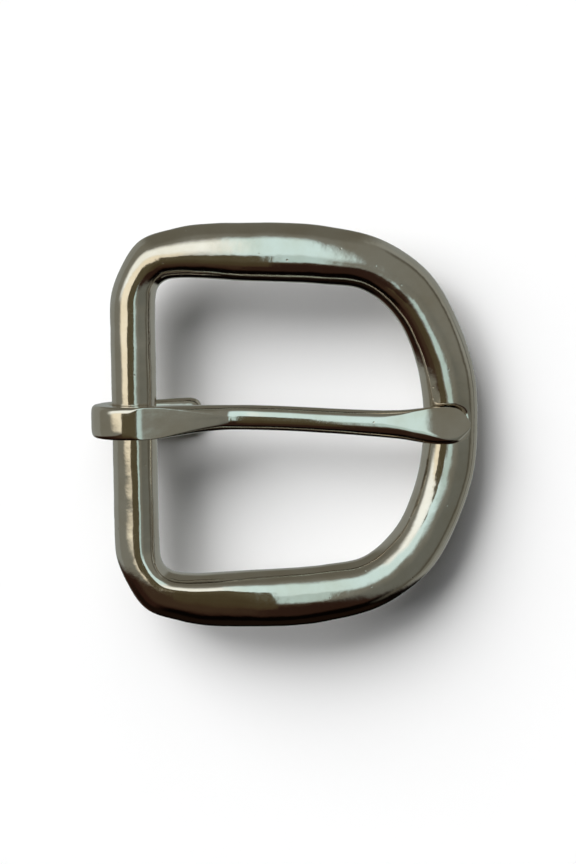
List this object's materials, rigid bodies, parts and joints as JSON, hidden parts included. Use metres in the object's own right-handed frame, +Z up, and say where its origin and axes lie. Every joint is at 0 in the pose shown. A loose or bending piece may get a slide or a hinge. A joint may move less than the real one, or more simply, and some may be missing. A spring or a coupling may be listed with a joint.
{
  "type": "belt buckle",
  "caption": "D-shaped heel-bar belt buckle in polished nickel plate, with a tongue that swings on the bar and rests across the far edge.",
  "frame": {"origin": "middle of the buckle's bounding box, on the surface it lies on", "axes": "+X along the tongue from the bar to the far edge, +Y across the belt, +Z up out of the belt's face"},
  "size_m": [0.0522, 0.0542, 0.0116],
  "materials": {
    "frame_plate": "bright nickel plate over a polished casting, with a slightly uneven skin and fine pits",
    "tongue_plate": "bright nickel plate, hand-filed flats beside the loop and at the tip"
  },
  "bodies": {
    "frame": {"frame": "frame_plate"},
    "tongue": {"tongue": "tongue_plate"}
  },
  "joints": [
    {"name": "tongue_pivot", "type": "hinge", "parent": "frame", "child": "tongue", "pos_m": [-0.02035, 0, 0.0058], "axis": [0, -1, 0], "range_deg": [0, 349]}
  ]
}
